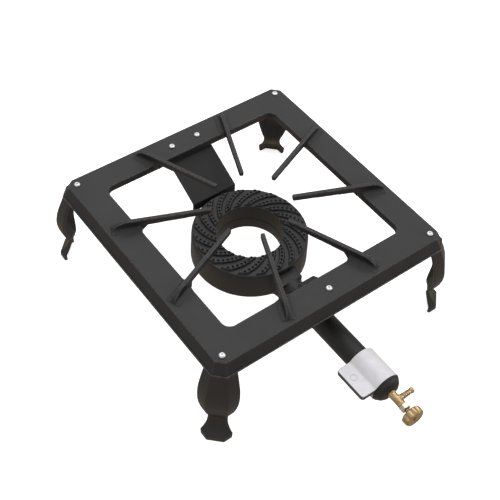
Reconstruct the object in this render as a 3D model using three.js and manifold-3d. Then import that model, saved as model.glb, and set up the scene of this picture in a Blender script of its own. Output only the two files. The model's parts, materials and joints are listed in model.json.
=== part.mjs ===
// Propane burner stand: a square cast-iron frame on four bolted legs, carrying a ring burner with a
// mixing tube, a sliding air shutter and a brass needle valve.
// Millimetres, +Z up. Origin: centre of the bounding box's base, on the floor. The gas valve points to -Y.
// Inside the assembly group, z = 0 is the top face of the frame plate and x = y = 0 is the ring's centre.
import * as THREE from "three";
import { mergeVertices } from "three/addons/utils/BufferGeometryUtils.js";
import Module from "manifold-3d";

const wasm = await Module();
wasm.setup();

// ---------------------------------------------------------------- driving dimensions
const GAP = 0.3; // air left between two pieces that touch

const PLATE_HEIGHT = 150.5; // floor to the frame plate's top face
const PLATE_HALF = 191; // plate edge, from the centre
const PLATE_CHAMFER = 10.6; // corner cut of the plate, along each edge
const PLATE_THICK = 5;
const SKIRT_HALF = 200; // skirt's lower rim, from the centre
const SKIRT_CHAMFER = 14.5;
const SKIRT_DEPTH = 19;
const WALL = 4;
const OPENING_HALF = 149.4; // opening at the plate's top face
const OPENING_HALF_LOW = 148.8; // opening at the foot of the inner skirt
const OPENING_RADIUS = 12;
const INNER_SKIRT_DEPTH = 11;
const INNER_SKIRT_BACK = 154.4; // back face of the inner skirt

const PRONG_COUNT = 8;
const PRONG_FIRST_ANGLE = Math.PI / 8;
const PRONG_TOP = 15; // pan height above the plate
const PRONG_THICK = 6;
const PRONG_TIP_R = 59;
const PRONG_CREST_R = 176; // where the level crest starts to fall to the plate
const PRONG_ROOT_R = 199.5;
const PRONG_SINK = 3; // how far each support runs into the plate
const PRONG_TIP_LOW = 6.5; // underside of the tip
const PRONG_ROOT_LOW = 3.6; // underside where it meets the frame

const LEG_BOLT = 178.5; // leg screw, from the centre along X and Y
const LEG_WALL = 4.5;
const LEG_TOP = -(SKIRT_DEPTH + GAP);
const LEG_WEB_LOW = -25;

const RING_TOP = -47.5; // floor of the grooves between the ribs
const RING_BASE = -92.3;
const RING_OUTER = 86.5;
const RING_INNER = 48.2;
const RING_WALL = 6;
const RIB_COUNT = 20;
const RIB_TOP = -44;
const RIB_WIDTH = 7.5;
const RIB_R0 = 50.5;
const RIB_R1 = 80.5;
const RIB_SWEEP = -0.0172; // radians of turn for each millimetre outwards
const RIB_PHASE = 0.12;
const PORTS_PER_RIB = 6;
const PORT_R = 1.15;

const AXIS_Z = -75; // axis of the mixing tube and of the valve
const TUBE_R = 17.3;
const TUBE_BORE_R = 13.3;
const TUBE_END = -302.5; // open end of the mixing tube, along Y
const AIR_WINDOWS = 4;
const AIR_WINDOW_REAR = -261;
const AIR_WINDOW_FRONT = -289;
const AIR_WINDOW_WIDTH = 13;

const SHUTTER_R = 22.8;
const SHUTTER_BORE_R = 17.7;
const SHUTTER_REAR = -249.5;
const TAB_END_X = -42;
const TAB_TOP = 12; // tab's top face above the tube axis
const TAB_THICK = 8;

const REAR_BOLT_X = 22.5;
const REAR_BOLT_Y = 168.7;
const FRONT_BOLT_Y = -172.5;
const LUG_HALF = 14; // front lug, across
const LUG_CHEEK = 4;
const LUG_PAD_LOW = -13.3; // underside of the lug's pad
const BRACKET_HALF = 38;
const BRACKET_THICK = 3;
const BRACKET_FACE = 88.5; // bracket's lip and tongue, where they meet the ring's boss
const BRACKET_BOLT_Z = -73;
const TONGUE_HALF = 15;
const TONGUE_LOW = -84;

const SCREW_R = 2.4; // M5 shank
const SCREW_HOLE_R = 2.8;
const SCREW_HEAD_R = 4.6;
const NUT_R = 4.6; // M5 nut, across corners / 2
const NUT_HEIGHT = 4;

const VALVE_HOLE_R = 6.5;
const BODY_FRONT = -336; // valve body, where the gland nut stands
const BODY_REAR = -298;
const BARREL_R = 6;
const SEAT_Y = -320;
const PACKING_REAR = -328.6;
const PACKING_FRONT = -331.6;
const GLAND_FRONT = -343.5;
const GLAND_R = 7.6; // gland nut, across corners / 2
const SPINDLE_R = 2.4;
const SPINDLE_CLEAR_R = 2.75;
const SPINDLE_END = -357;
const KNOB_R = 14.8;
const KNOB_REAR = -349;
const KNOB_FRONT = -361.5;
const BARB_Y = -325.5;
const BARB_START = 9.5; // foot of the hose nipple, from the valve axis
const BARB_TIP = 28;
const BARB_BORE_R = 1.6;
const FRONT_MOST = -363; // knob screw head
const REAR_MOST = 213.2; // rear feet
const CENTRE_Y = -(FRONT_MOST + REAR_MOST) / 2;

// ---------------------------------------------------------------- materials
const standard = (color, roughness, metalness) =>
  new THREE.MeshStandardMaterial({ color, roughness, metalness });
const FRAME_IRON = standard(0x3b3a3d, 0.55, 0.3);
const LEG_IRON = standard(0x35322f, 0.5, 0.3);
const BURNER_IRON = standard(0x2b2a29, 0.75, 0.3);
const STEEL_BLACK = standard(0x2a2a2b, 0.6, 0.3);
const ZINC = standard(0xdadada, 0.3, 0.9);
const ALUMINIUM = standard(0xd9d9dc, 0.35, 0.9);
const BRASS = standard(0xc9a066, 0.3, 0.9);
const PALE_BRASS = standard(0xe3d2b4, 0.25, 0.9);
const STAINLESS = standard(0xb8b8b8, 0.3, 0.9);
const PTFE = standard(0xe8e8e2, 0.6, 0);

// ---------------------------------------------------------------- solids
// A closed geometry as a manifold solid.
function solid(geometry) {
  const flat = geometry.index ? geometry.toNonIndexed() : geometry.clone();
  const bare = new THREE.BufferGeometry().setAttribute("position", flat.getAttribute("position"));
  const merged = mergeVertices(bare, 1e-4);
  const mesh = new wasm.Mesh({
    numProp: 3,
    vertProperties: new Float32Array(merged.attributes.position.array),
    triVerts: new Uint32Array(merged.index.array),
  });
  return new wasm.Manifold(mesh);
}

function toGeometry(manifold) {
  const mesh = manifold.getMesh();
  const points = new Float32Array(mesh.numVert * 3);
  for (let i = 0; i < mesh.numVert; i++) {
    points.set(mesh.vertProperties.subarray(i * mesh.numProp, i * mesh.numProp + 3), i * 3);
  }
  return new THREE.BufferGeometry()
    .setAttribute("position", new THREE.BufferAttribute(points, 3))
    .setIndex(new THREE.BufferAttribute(new Uint32Array(mesh.triVerts), 1));
}

const union = (...parts) => parts.reduce((a, b) => a.add(b));
const cut = (body, ...tools) => tools.reduce((a, b) => a.subtract(b), body);

function box(x0, x1, y0, y1, z0, z1) {
  const geometry = new THREE.BoxGeometry(x1 - x0, y1 - y0, z1 - z0);
  return solid(geometry.translate((x0 + x1) / 2, (y0 + y1) / 2, (z0 + z1) / 2));
}

// Upright prism of a plan outline.
function prism(points, z0, z1) {
  const shape = new THREE.Shape(points.map(([x, y]) => new THREE.Vector2(x, y)));
  const geometry = new THREE.ExtrudeGeometry(shape, { depth: z1 - z0, bevelEnabled: false });
  return solid(geometry.translate(0, 0, z0));
}

// Plate whose side outline is drawn in (y, z) and whose thickness runs along X.
function sidePlate(points, x0, x1) {
  const shape = new THREE.Shape(points.map(([y, z]) => new THREE.Vector2(y, z)));
  const geometry = new THREE.ExtrudeGeometry(shape, { depth: x1 - x0, bevelEnabled: false });
  geometry.rotateX(Math.PI / 2);
  geometry.rotateZ(Math.PI / 2);
  return solid(geometry.translate(x0, 0, 0));
}

// Closed lathe body about Y from an (r, y) outline drawn in either direction.
function lathe(outline, segments) {
  const profile = outline.map(([r, y]) => new THREE.Vector2(r, y));
  if (THREE.ShapeUtils.isClockWise(profile)) profile.reverse();
  return new THREE.LatheGeometry([...profile, profile[0]], segments);
}

// Body of revolution about Z from an (r, z) outline.
const turned = (outline, segments) => solid(lathe(outline, segments).rotateX(Math.PI / 2));

// Body of revolution about the valve axis from an (r, y) outline.
const turnedOnAxis = (outline, segments) => solid(lathe(outline, segments).translate(0, 0, AXIS_Z));

const rod = (x, y, r, z0, z1, segments) =>
  turned([[0, z0], [r, z0], [r, z1], [0, z1]], segments).translate([x, y, 0]);
const rodOnAxis = (r, y0, y1, segments) => turnedOnAxis([[0, y0], [r, y0], [r, y1], [0, y1]], segments);

// Square with cut corners, counter-clockwise.
function cutSquare(half, chamfer) {
  const c = half - chamfer;
  return [[half, -c], [half, c], [c, half], [-c, half], [-half, c], [-half, -c], [-c, -half], [c, -half]];
}

// Square with rounded corners, counter-clockwise.
function roundSquare(half, radius, steps) {
  const points = [];
  for (let corner = 0; corner < 4; corner++) {
    const middle = Math.PI / 4 + (corner * Math.PI) / 2;
    const cx = Math.SQRT2 * (half - radius) * Math.cos(middle);
    const cy = Math.SQRT2 * (half - radius) * Math.sin(middle);
    for (let i = 0; i <= steps; i++) {
      const a = middle - Math.PI / 4 + (i / steps) * (Math.PI / 2);
      points.push([cx + radius * Math.cos(a), cy + radius * Math.sin(a)]);
    }
  }
  return points;
}

// Solid through plan outlines with the same number of points at rising heights.
function loft(outlines, heights) {
  const count = outlines[0].length;
  const points = outlines.flatMap((outline, k) => outline.map(([x, y]) => [x, y, heights[k]]));
  const faces = [];
  for (let k = 0; k + 1 < outlines.length; k++) {
    for (let i = 0; i < count; i++) {
      const a = k * count + i;
      const b = k * count + ((i + 1) % count);
      faces.push([a, b, b + count], [a, b + count, a + count]);
    }
  }
  const cap = (k) =>
    THREE.ShapeUtils.triangulateShape(outlines[k].map(([x, y]) => new THREE.Vector2(x, y)), []);
  const top = (outlines.length - 1) * count;
  cap(0).forEach(([a, b, c]) => faces.push([c, b, a]));
  cap(outlines.length - 1).forEach(([a, b, c]) => faces.push([a + top, b + top, c + top]));
  const geometry = new THREE.BufferGeometry();
  geometry.setAttribute("position", new THREE.Float32BufferAttribute(points.flat(), 3));
  geometry.setIndex(faces.flat());
  return solid(geometry);
}

const root = new THREE.Group();
const assembly = new THREE.Group();
assembly.position.set(0, CENTRE_Y, PLATE_HEIGHT);
root.add(assembly);

function place(name, manifold, material) {
  const mesh = new THREE.Mesh(toGeometry(manifold), material);
  mesh.name = name;
  assembly.add(mesh);
}

// ---------------------------------------------------------------- frame casting
// Channel-section square frame with eight radial pan supports.
function prong(angle) {
  const edge = OPENING_HALF / Math.cos(PRONG_FIRST_ANGLE);
  const fall = [];
  const steps = 5;
  for (let i = 0; i <= steps; i++) {
    const a = (i / steps) * (Math.PI / 2);
    const r = PRONG_CREST_R + (PRONG_ROOT_R - PRONG_CREST_R) * Math.sin(a);
    fall.push([-r, -PRONG_SINK + (PRONG_TOP + PRONG_SINK) * Math.cos(a)]);
  }
  const outline = [
    ...fall,
    [-edge - PRONG_SINK, -PRONG_SINK],
    [-edge + PRONG_SINK, PRONG_ROOT_LOW],
    [-PRONG_TIP_R - 1, PRONG_TIP_LOW],
    [-PRONG_TIP_R, PRONG_TOP],
  ];
  const fin = sidePlate(outline, -PRONG_THICK / 2, PRONG_THICK / 2);
  return fin.rotate([0, 0, 90 + THREE.MathUtils.radToDeg(angle)]);
}

function makeFrame() {
  const shell = loft(
    [cutSquare(SKIRT_HALF, SKIRT_CHAMFER), cutSquare(PLATE_HALF, PLATE_CHAMFER)],
    [-SKIRT_DEPTH, 0],
  );
  const flare = (SKIRT_HALF - PLATE_HALF) / SKIRT_DEPTH;
  const hollow = loft(
    [
      cutSquare(SKIRT_HALF - WALL + flare, SKIRT_CHAMFER),
      cutSquare(PLATE_HALF - WALL + flare * PLATE_THICK, PLATE_CHAMFER + 0.5),
    ],
    [-SKIRT_DEPTH - 1, -PLATE_THICK],
  );
  const keep = box(-INNER_SKIRT_BACK, INNER_SKIRT_BACK, -INNER_SKIRT_BACK, INNER_SKIRT_BACK,
    -INNER_SKIRT_DEPTH, 0);
  const slope = (OPENING_HALF - OPENING_HALF_LOW) / INNER_SKIRT_DEPTH;
  const opening = loft(
    [
      roundSquare(OPENING_HALF_LOW - slope * 10, OPENING_RADIUS, 5),
      roundSquare(OPENING_HALF + slope, OPENING_RADIUS, 5),
    ],
    [-INNER_SKIRT_DEPTH - 10, 1],
  );
  let frame = cut(shell, cut(hollow, keep));
  frame = cut(frame, opening);
  for (let k = 0; k < PRONG_COUNT; k++) {
    frame = frame.add(prong(PRONG_FIRST_ANGLE + (k * 2 * Math.PI) / PRONG_COUNT));
  }
  const holes = [
    [LEG_BOLT, LEG_BOLT], [-LEG_BOLT, LEG_BOLT], [-LEG_BOLT, -LEG_BOLT], [LEG_BOLT, -LEG_BOLT],
    [REAR_BOLT_X, REAR_BOLT_Y], [-REAR_BOLT_X, REAR_BOLT_Y], [0, FRONT_BOLT_Y],
  ];
  return cut(frame, ...holes.map(([x, y]) => rod(x, y, SCREW_HOLE_R, -PLATE_THICK - 1, 1, 12)));
}
place("frame", makeFrame(), FRAME_IRON);

// ---------------------------------------------------------------- legs
// Each leg is a shell of three facets, open towards the middle, that bulges, narrows to a waist and
// flares into a foot. A station is: height, corner reach, corner cut, length of each flank.
const LEG_STATIONS = [
  [LEG_TOP, 199.4, 14.5, 17],
  [-35, 206, 18, 18.5],
  [-52, 211, 20.5, 19.5],
  [-72, 213, 21, 18.5],
  [-90, 210, 19.5, 14],
  [-104, 205, 17.5, 8.5],
  [-113, 201, 15.5, 5],
  [-124, 204, 15.5, 5.5],
  [-134, 208.5, 17, 9],
  [-140, 213.2, 18.5, 13],
  [-PLATE_HEIGHT, 213.2, 17, 14],
];

function legSection([, reach, chamfer, flank]) {
  const inner = reach - LEG_WALL;
  const bend = reach - chamfer;
  const innerBend = bend - LEG_WALL * Math.tan(Math.PI / 8);
  const end = bend - flank;
  return [
    [reach, end], [reach, bend], [bend, reach], [end, reach],
    [end, inner], [innerBend, inner], [inner, innerBend], [inner, end],
  ];
}

function makeLeg() {
  const rising = [...LEG_STATIONS].reverse();
  const shell = loft(rising.map(legSection), rising.map(([z]) => z));
  const [, reach, chamfer, flank] = LEG_STATIONS[0];
  const near = reach - chamfer - flank;
  const web = prism(
    [
      [near, near], [reach - 2, near], [reach - 2, reach - chamfer],
      [reach - chamfer, reach - 2], [near, reach - 2],
    ],
    LEG_WEB_LOW, LEG_TOP,
  );
  const block = prism(
    [[166, 166], [184, 166], [184, 175.5], [175.5, 184], [166, 184]],
    LEG_WEB_LOW, -PLATE_THICK - GAP,
  );
  const hole = rod(LEG_BOLT, LEG_BOLT, SCREW_HOLE_R, LEG_WEB_LOW - 1, 0, 12);
  return cut(union(shell, web, block), hole);
}

const CORNERS = [
  ["rear_right", 0], ["rear_left", 90], ["front_left", 180], ["front_right", 270],
];

// Pan-head screw with a hexagon recess, standing on the plate with its shank down to z = low.
function screw(x, y, low) {
  const head = turned(
    [[0, GAP], [SCREW_HEAD_R, GAP], [SCREW_HEAD_R, 1.4], [3.3, 2.5], [0, 2.8]], 16,
  );
  const shank = rod(0, 0, SCREW_R, low, 1, 12);
  const recess = rod(0, 0, 1.5, 1.4, 4, 6);
  return cut(union(head, shank), recess).translate([x, y, 0]);
}

function nut(x, y, top) {
  const body = rod(0, 0, NUT_R, top - NUT_HEIGHT, top, 6);
  return cut(body, rod(0, 0, SCREW_HOLE_R, top - NUT_HEIGHT - 1, top + 1, 12)).translate([x, y, 0]);
}

const leg = makeLeg();
for (const [corner, degrees] of CORNERS) {
  const turn = [0, 0, degrees];
  place("leg_" + corner, leg.rotate(turn), LEG_IRON);
  place("leg_screw_" + corner, screw(LEG_BOLT, LEG_BOLT, -32).rotate(turn), ZINC);
  place("leg_nut_" + corner, nut(LEG_BOLT, LEG_BOLT, LEG_WEB_LOW - GAP).rotate(turn), ZINC);
}

// ---------------------------------------------------------------- burner casting
// Hollow ring with raised spiral ribs drilled with gas ports, in one casting with the mixing tube,
// the front lug and the rear boss.
const ribAngle = (r) => RIB_PHASE + RIB_SWEEP * (r - (RIB_R0 + RIB_R1) / 2);

function makeRib() {
  const steps = 5;
  const left = [];
  const right = [];
  for (let i = 0; i <= steps; i++) {
    const r = RIB_R0 + ((RIB_R1 - RIB_R0) * i) / steps;
    const a = ribAngle(r);
    const lean = a + Math.atan(RIB_SWEEP * r);
    const [nx, ny] = [-Math.sin(lean) * (RIB_WIDTH / 2), Math.cos(lean) * (RIB_WIDTH / 2)];
    left.push([r * Math.cos(a) + nx, r * Math.sin(a) + ny]);
    right.push([r * Math.cos(a) - nx, r * Math.sin(a) - ny]);
  }
  const rim = rod(0, 0, RIB_R1, RING_TOP - 1, RIB_TOP, 72);
  const eye = rod(0, 0, RIB_R0, RING_TOP - 2, RIB_TOP + 1, 48);
  return prism([...right, ...left.reverse()], RING_TOP - 0.5, RIB_TOP).intersect(cut(rim, eye));
}

function makePorts() {
  const ports = [];
  for (let i = 0; i < PORTS_PER_RIB; i++) {
    const r = RIB_R0 + 3.5 + ((RIB_R1 - RIB_R0 - 7) * i) / (PORTS_PER_RIB - 1);
    const a = ribAngle(r);
    ports.push(rod(r * Math.cos(a), r * Math.sin(a), PORT_R, RING_TOP - RING_WALL - 1, 0, 6));
  }
  return ports;
}

const NECK_FLARE = 7;
const NECK_REAR = 78;
const NECK_LENGTH = 24;
function makeNeck() {
  const flare = (side) => {
    const points = [];
    for (let i = 0; i <= 5; i++) {
      const a = (i / 5) * (Math.PI / 2);
      const x = TUBE_R + NECK_FLARE * (1 - Math.sin(a));
      points.push([side * x, -NECK_REAR - NECK_LENGTH * (1 - Math.cos(a))]);
    }
    return points;
  };
  const outline = [...flare(-1).reverse(), ...flare(1)];
  return prism(outline.reverse(), RING_BASE + 1, -58);
}

// Pad under the frame's front bar, two cheeks down to the tube and a sloping cover towards the ring.
// Outlines are (y, z).
function makeFrontLug() {
  const top = -PLATE_THICK - GAP;
  const cheek = [
    [-184, top - 1], [-158, top - 1], [-158, -14], [-146, -18], [-127, -29], [-127, -66],
    [-167, -66], [-168, -61], [-182, -39], [-184, -34],
  ];
  const cover = [
    [-158, LUG_PAD_LOW], [-146, -17.6], [-127, -28.6], [-127, -66], [-133, -66], [-133, -33],
    [-148, -24.4], [-158, -21],
  ];
  const pad = box(-LUG_HALF, LUG_HALF, -184, -156, LUG_PAD_LOW, top);
  const left = sidePlate(cheek, -LUG_HALF, -LUG_HALF + LUG_CHEEK);
  const right = sidePlate(cheek, LUG_HALF - LUG_CHEEK, LUG_HALF);
  const hole = rod(0, FRONT_BOLT_Y, SCREW_HOLE_R, LUG_PAD_LOW - 1, 0, 12);
  return cut(union(pad, sidePlate(cover, -LUG_HALF, LUG_HALF), left, right), hole);
}

function makeBurner() {
  const ring = turned(
    [
      [RING_INNER, RING_BASE], [RING_OUTER, RING_BASE], [85.2, -54], [84.4, -49.8], [82, RING_TOP],
      [RING_INNER + 0.8, RING_TOP],
    ],
    72,
  );
  const inner = RING_INNER + RING_WALL + 1;
  const outer = RING_OUTER - RING_WALL - 2;
  const chamber = turned(
    [
      [inner, RING_BASE + RING_WALL], [outer, RING_BASE + RING_WALL],
      [outer - 1, RING_TOP - RING_WALL], [inner, RING_TOP - RING_WALL],
    ],
    36,
  );
  const tube = rodOnAxis(TUBE_R, TUBE_END, -78, 32);
  const bore = rodOnAxis(TUBE_BORE_R, TUBE_END - 1, -68, 24);
  const boss = box(-TONGUE_HALF, TONGUE_HALF, 80, BRACKET_FACE, TONGUE_LOW, -63);
  const rearHole = rodOnAxis(2.1, 79, 90, 12).translate([0, 0, BRACKET_BOLT_Z - AXIS_Z]);
  let burner = union(ring, tube, makeNeck(), makeFrontLug(), boss);
  burner = cut(burner, chamber, bore, rearHole);
  const rib = makeRib();
  const ports = makePorts();
  for (let k = 0; k < RIB_COUNT; k++) {
    const turn = [0, 0, (k * 360) / RIB_COUNT];
    burner = burner.add(rib.rotate(turn));
    burner = cut(burner, ...ports.map((port) => port.rotate(turn)));
  }
  const half = AIR_WINDOW_WIDTH / 2;
  const window = box(-half, half, AIR_WINDOW_FRONT, AIR_WINDOW_REAR, 0, 25);
  for (let k = 0; k < AIR_WINDOWS; k++) {
    const turn = [0, 45 + (k * 360) / AIR_WINDOWS, 0];
    burner = cut(burner, window.rotate(turn).translate([0, 0, AXIS_Z]));
  }
  return burner;
}
place("burner_casting", makeBurner(), BURNER_IRON);

// ---------------------------------------------------------------- burner fixings
// Bent plate from the rear of the frame down to the ring, with a lip bolted to the ring's boss.
function makeRearBracket() {
  const t = BRACKET_THICK;
  const top = -PLATE_THICK - GAP;
  const lipLow = -62;
  const outline = [
    [184, top], [161, top], [153, -13.5], [BRACKET_FACE, -46.8], [BRACKET_FACE, lipLow],
    [BRACKET_FACE + t, lipLow], [BRACKET_FACE + t, -48.6], [152, -13.5 - t - 0.6], [160, top - t],
    [184, top - t],
  ];
  const plate = sidePlate(outline, -BRACKET_HALF, BRACKET_HALF);
  const tongue = box(
    -TONGUE_HALF, TONGUE_HALF, BRACKET_FACE + GAP, BRACKET_FACE + t, TONGUE_LOW, lipLow + 2,
  );
  const across = (x) => rod(x, REAR_BOLT_Y, SCREW_HOLE_R, -14, 0, 12);
  const bolt = rodOnAxis(SCREW_HOLE_R, 87, 94, 12).translate([0, 0, BRACKET_BOLT_Z - AXIS_Z]);
  return cut(union(plate, tongue), across(-REAR_BOLT_X), across(REAR_BOLT_X), bolt);
}
place("rear_bracket", makeRearBracket(), STEEL_BLACK);

for (const [side, x] of [["left", -REAR_BOLT_X], ["right", REAR_BOLT_X]]) {
  place("bracket_screw_" + side, screw(x, REAR_BOLT_Y, -15), ZINC);
  place("bracket_nut_" + side, nut(x, REAR_BOLT_Y, -PLATE_THICK - GAP - BRACKET_THICK - GAP), ZINC);
}
place("front_screw", screw(0, FRONT_BOLT_Y, -20), ZINC);
place("front_nut", nut(0, FRONT_BOLT_Y, LUG_PAD_LOW - GAP), ZINC);

// Short hexagon-head bolt that holds the bracket's tongue to the ring.
function makeBracketBolt() {
  const y = BRACKET_FACE + BRACKET_THICK + GAP;
  const head = rodOnAxis(NUT_R, y, y + 3.5, 6);
  const shank = rodOnAxis(1.8, 81, y + 1, 12);
  return union(head, shank).translate([0, 0, BRACKET_BOLT_Z - AXIS_Z]);
}
place("bracket_bolt", makeBracketBolt(), ZINC);

// ---------------------------------------------------------------- air shutter and end cap
function makeShutter() {
  const sleeve = rodOnAxis(SHUTTER_R, TUBE_END, SHUTTER_REAR, 40);
  const low = TAB_TOP - TAB_THICK;
  const corner = 4;
  const tab = prism(
    [
      [0, SHUTTER_REAR], [TAB_END_X + corner, SHUTTER_REAR],
      [TAB_END_X + 1.2, SHUTTER_REAR - 1.2], [TAB_END_X, SHUTTER_REAR - corner],
      [TAB_END_X, TUBE_END + corner], [TAB_END_X + 1.2, TUBE_END + 1.2],
      [TAB_END_X + corner, TUBE_END], [0, TUBE_END],
    ],
    AXIS_Z + low, AXIS_Z + TAB_TOP,
  );
  const bore = rodOnAxis(SHUTTER_BORE_R, TUBE_END - 1, SHUTTER_REAR + 1, 32);
  return cut(union(sleeve, tab), bore);
}
place("air_shutter", makeShutter(), ALUMINIUM);

// Domed cap in the end of the mixing tube: stops the shutter and carries the valve.
const CAP_REAR = TUBE_END - GAP;
const CAP_NOSE = -313;
place(
  "tube_cap",
  turnedOnAxis(
    [
      [VALVE_HOLE_R, CAP_NOSE], [VALVE_HOLE_R, TUBE_END + 9], [TUBE_BORE_R - GAP, TUBE_END + 9],
      [TUBE_BORE_R - GAP, CAP_REAR], [21.6, CAP_REAR], [21.6, CAP_REAR - 1.6], [20, CAP_REAR - 2],
      [19.6, -306.5], [17.6, -309.4], [14, -311.9], [10, CAP_NOSE],
    ],
    32,
  ),
  BURNER_IRON,
);

// ---------------------------------------------------------------- gas valve
// Outlines are (r, y) along the valve axis, from the jet inside the cap out to the knob.
const JET_SEAT = -304;
const sideways = (piece) => piece.rotate([0, 90, 0]).translate([0, BARB_Y, AXIS_Z]);

function makeValveBody() {
  const stem = rodOnAxis(VALVE_HOLE_R - GAP, CAP_NOSE - 1, BODY_REAR, 24);
  const collar = rodOnAxis(BARREL_R + 1, CAP_NOSE - GAP - 3, CAP_NOSE - GAP, 24);
  const barrel = rodOnAxis(BARREL_R, BODY_FRONT, CAP_NOSE - 1, 24);
  const bossEnd = BARB_START - GAP;
  const sideBoss = sideways(
    turned([[0, 0], [4.8, 0], [4.8, bossEnd - 0.7], [4.2, bossEnd], [0, bossEnd]], 16),
  );
  const jetSocket = rodOnAxis(3.3, JET_SEAT, BODY_REAR + 1, 16);
  const gasWay = rodOnAxis(1.6, SEAT_Y, JET_SEAT + 1, 12);
  const seat = rodOnAxis(1, SEAT_Y - 3, SEAT_Y + 1, 12);
  const chamber = rodOnAxis(4.1, BODY_FRONT - 1, SEAT_Y - 2, 16);
  const inlet = sideways(turned([[0, 2], [2.9, 2], [2.9, 12], [0, 12]], 12));
  return cut(union(stem, collar, barrel, sideBoss), jetSocket, gasWay, seat, chamber, inlet);
}
place("valve_body", makeValveBody(), BRASS);

place(
  "gas_jet",
  turnedOnAxis(
    [
      [0.5, JET_SEAT + GAP], [3, JET_SEAT + GAP], [3, BODY_REAR + GAP], [4.4, BODY_REAR + GAP],
      [4.4, -295], [2.2, -292], [0.5, -292],
    ],
    12,
  ),
  PALE_BRASS,
);

// Hose nipple: a spigot in the body's side boss, three barbs and a rounded end, bored through.
function makeHoseBarb() {
  const spigot = [[BARB_BORE_R, 3.2], [2.6, 3.2], [2.6, BARB_START]];
  const collar = [[4.2, BARB_START], [4.2, BARB_START + 1.5], [3, BARB_START + 2]];
  const outline = [...spigot, ...collar];
  for (let k = 0; k < 3; k++) {
    const x = BARB_START + 3 + k * 3;
    outline.push([3.7, x], [3, x + 2.4]);
  }
  outline.push([3, BARB_TIP - 6], [4.1, BARB_TIP - 5], [4.2, BARB_TIP - 2.5]);
  outline.push([3.2, BARB_TIP], [BARB_BORE_R, BARB_TIP]);
  return sideways(turned(outline, 20));
}
place("hose_barb", makeHoseBarb(), BRASS);

place(
  "packing_ring",
  turnedOnAxis(
    [
      [SPINDLE_CLEAR_R, PACKING_FRONT], [3.8, PACKING_FRONT],
      [3.8, PACKING_REAR], [SPINDLE_CLEAR_R, PACKING_REAR],
    ],
    20,
  ),
  PTFE,
);

function makeGlandNut() {
  const hexagon = rodOnAxis(GLAND_R, GLAND_FRONT, BODY_FRONT - GAP, 6);
  const spigot = rodOnAxis(3.8, BODY_FRONT - 1, PACKING_FRONT - GAP, 16);
  return cut(union(hexagon, spigot), rodOnAxis(SPINDLE_CLEAR_R, GLAND_FRONT - 1, PACKING_FRONT + 1, 16));
}
place("gland_nut", makeGlandNut(), PALE_BRASS);

// Needle spindle: rises 1 mm for each turn of the knob.
function makeSpindle() {
  const shaft = turnedOnAxis(
    [[0, SEAT_Y - 2.5], [SPINDLE_R, SEAT_Y - 6], [SPINDLE_R, SPINDLE_END], [0, SPINDLE_END]], 20,
  );
  return cut(shaft, rodOnAxis(1.4, SPINDLE_END - 1, -350, 12));
}
place("valve_spindle", makeSpindle(), STAINLESS);

const KNOB_FLUTES = 10;
const FLUTE_R = 3.2;
const FLUTE_DEPTH = 1.1;
function makeKnob() {
  const disc = turnedOnAxis(
    [
      [0, KNOB_FRONT], [KNOB_R - 1.4, KNOB_FRONT], [KNOB_R - 0.3, KNOB_FRONT + 1.2],
      [KNOB_R, KNOB_FRONT + 3], [KNOB_R, KNOB_REAR - 1.5], [KNOB_R - 0.8, KNOB_REAR],
      [5.5, KNOB_REAR], [5, KNOB_REAR + 2.6],
      [0, KNOB_REAR + 2.6],
    ],
    42,
  );
  let knob = disc;
  const groove = rodOnAxis(FLUTE_R, KNOB_FRONT - 1, KNOB_REAR + 1, 16)
    .translate([KNOB_R + FLUTE_R - FLUTE_DEPTH, 0, 0]);
  for (let k = 0; k < KNOB_FLUTES; k++) {
    const turn = [0, (k * 360) / KNOB_FLUTES, 0];
    knob = cut(knob, groove.translate([0, 0, -AXIS_Z]).rotate(turn).translate([0, 0, AXIS_Z]));
  }
  const socket = rodOnAxis(2.7, SPINDLE_END - GAP, KNOB_REAR + 4, 16);
  const clear = rodOnAxis(1.5, KNOB_FRONT - 1, SPINDLE_END, 12);
  return cut(knob, socket, clear);
}
place("knob", makeKnob(), BRASS);

function makeKnobScrew() {
  const seat = KNOB_FRONT - GAP;
  const head = turnedOnAxis(
    [[0, FRONT_MOST], [2.4, FRONT_MOST], [3.2, FRONT_MOST + 0.8], [3.2, seat], [0, seat]], 16,
  );
  const shank = rodOnAxis(1.1, KNOB_FRONT - 1, -352, 12);
  const slot = box(-4, 4, FRONT_MOST - 1, FRONT_MOST + 0.6, AXIS_Z - 0.4, AXIS_Z + 0.4);
  return cut(union(head, shank), slot);
}
place("knob_screw", makeKnobScrew(), BRASS);

export default root;
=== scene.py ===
"""Looks of the propane burner stand: cast skins, turned brass and steel, a cast shutter, light and camera.

Lengths below are millimetres in the assembly's own axes, as in the part's source: x = y = 0 is the ring's
centre and z = 0 is the top face of the frame plate. put() takes them to metres in the row frame.
"""
import json
import math

import bmesh
import bpy
import numpy as np
from mathutils import Matrix, Vector


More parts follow.
